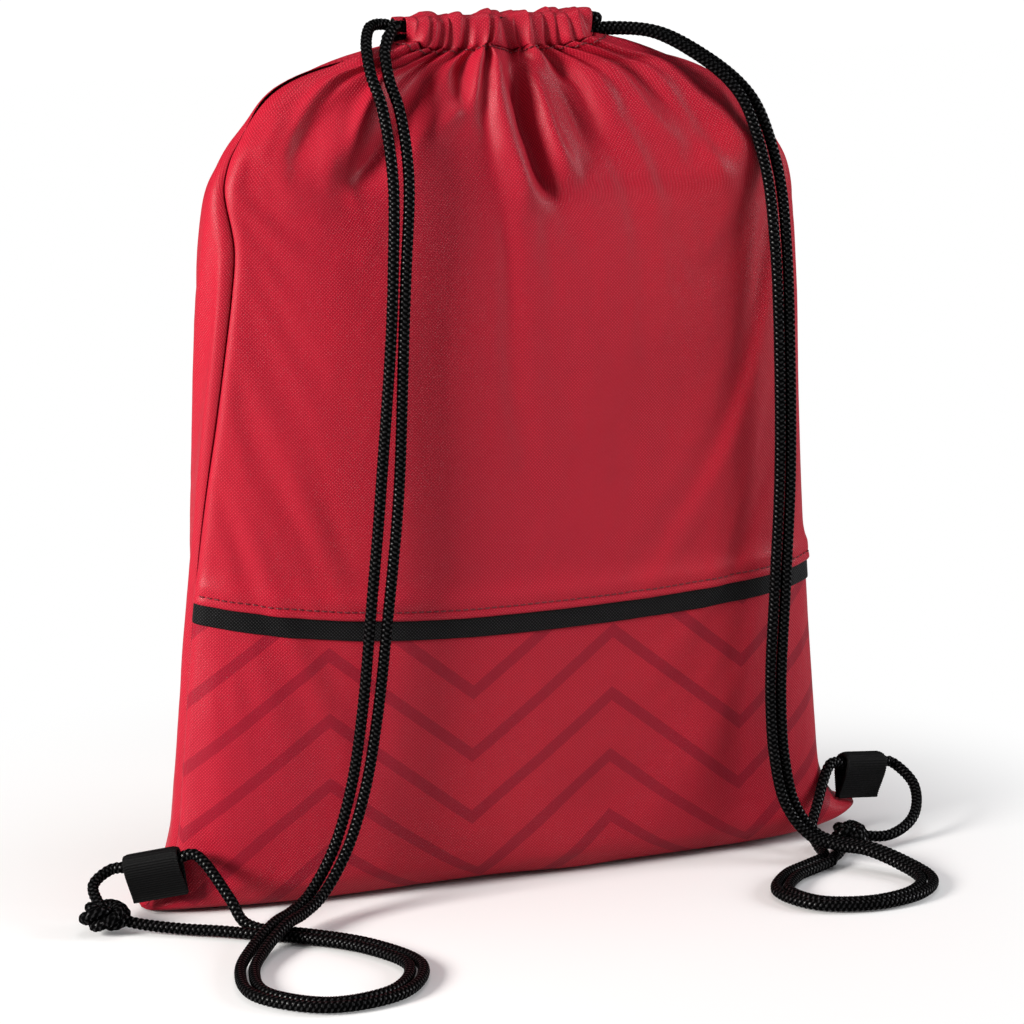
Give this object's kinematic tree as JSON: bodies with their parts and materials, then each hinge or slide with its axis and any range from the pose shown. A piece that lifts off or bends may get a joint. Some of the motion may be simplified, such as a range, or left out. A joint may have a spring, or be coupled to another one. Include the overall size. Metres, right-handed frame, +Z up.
{
  "type": "drawstring backpack",
  "caption": "Soft drawstring backpack with a gathered mouth, a trimmed printed lower front, cord shoulder straps and corner tabs.",
  "frame": {"origin": "on the floor under the middle of the bag, on the underside of its base", "axes": "+Z up, +X to the right of somebody facing the front, the front faces -Y"},
  "size_m": [0.4124, 0.2105, 0.3898],
  "materials": {
    "red_cloth": "satin embossed non-woven",
    "printed_cloth": "satin embossed non-woven, tone-on-tone chevrons",
    "black_trim": "satin embossed non-woven",
    "black_cord": "braided, slightly glossy",
    "black_webbing": "ribbed webbing",
    "red_thread": "spun thread"
  },
  "bodies": {
    "bag": {"back_panel": "red_cloth", "front_upper_panel": "red_cloth", "front_lower_panel": "printed_cloth", "trim_tape": "black_trim", "left_front_strand_hook": "black_cord", "left_front_strand_coil": "black_cord", "left_back_strand_hook": "black_cord", "left_back_strand_coil": "black_cord", "left_tail_to_knot": "black_cord", "left_tail_to_tab": "black_cord", "left_tail_from_tab": "black_cord", "left_knot": "black_cord", "left_cord_turn": "black_cord", "right_front_strand_hook": "black_cord", "right_front_strand_coil": "black_cord", "right_back_strand_hook": "black_cord", "right_back_strand_coil": "black_cord", "right_tail_to_knot": "black_cord", "right_tail_to_tab": "black_cord", "right_tail_from_tab": "black_cord", "right_knot": "black_cord", "right_cord_turn": "black_cord", "trim_topstitch": "red_thread", "front_casing_stitch": "red_thread", "back_casing_stitch": "red_thread", "left_seam_thread": "red_thread", "right_seam_thread": "red_thread", "bottom_seam_thread": "red_thread"},
    "front_lip": {"front_casing": "red_cloth", "left_cord_in_front_casing": "black_cord", "right_cord_in_front_casing": "black_cord"},
    "back_lip": {"back_casing": "red_cloth", "left_cord_in_back_casing": "black_cord", "right_cord_in_back_casing": "black_cord"},
    "left_strap_lower": {"left_front_strand_lower": "black_cord", "left_back_strand_lower": "black_cord"},
    "left_strap_upper": {"left_front_strand_upper": "black_cord", "left_back_strand_upper": "black_cord"},
    "left_tab": {"left_tab": "black_webbing", "left_cord_in_tab": "black_cord"},
    "right_strap_lower": {"right_front_strand_lower": "black_cord", "right_back_strand_lower": "black_cord"},
    "right_strap_upper": {"right_front_strand_upper": "black_cord", "right_back_strand_upper": "black_cord"},
    "right_tab": {"right_tab": "black_webbing", "right_cord_in_tab": "black_cord"}
  },
  "joints": [
    {"name": "mouth_front", "type": "slide", "parent": "bag", "child": "front_lip", "axis": [0, -1, 0], "range_m": [0, 0.008]},
    {"name": "mouth_back", "type": "slide", "parent": "bag", "child": "back_lip", "axis": [0, 1, 0], "range_m": [0, 0.008]},
    {"name": "left_strap_lift", "type": "hinge", "parent": "bag", "child": "left_strap_lower", "pos_m": [-0.107, -0.058, 0.013], "axis": [1, 0, 0], "range_deg": [0, 8]},
    {"name": "left_strap_knee", "type": "hinge", "parent": "left_strap_lower", "child": "left_strap_upper", "pos_m": [-0.069, -0.044, 0.183], "axis": [1, 0, 0], "range_deg": [-16.5, 0.5]},
    {"name": "right_strap_lift", "type": "hinge", "parent": "bag", "child": "right_strap_lower", "pos_m": [0.136, -0.058, 0.012], "axis": [1, 0, 0], "range_deg": [0, 8]},
    {"name": "right_strap_knee", "type": "hinge", "parent": "right_strap_lower", "child": "right_strap_upper", "pos_m": [0.124, -0.0425, 0.179], "axis": [1, 0, 0], "range_deg": [-16.5, 0.5]},
    {"name": "left_tab_swing", "type": "hinge", "parent": "bag", "child": "left_tab", "pos_m": [-0.1675, -0.0245, 0.01], "axis": [0.8489, -0.4798, 0.2215], "range_deg": [-3, 35]},
    {"name": "right_tab_swing", "type": "hinge", "parent": "bag", "child": "right_tab", "pos_m": [0.178, -0.0175, 0.015], "axis": [0.9479, 0.2765, -0.158], "range_deg": [-3, 35]}
  ],
  "couplings": [
    {"joint": "mouth_back", "follows": "mouth_front", "ratio": 1},
    {"joint": "left_strap_knee", "follows": "left_strap_lift", "ratio": -2},
    {"joint": "right_strap_knee", "follows": "right_strap_lift", "ratio": -2}
  ]
}
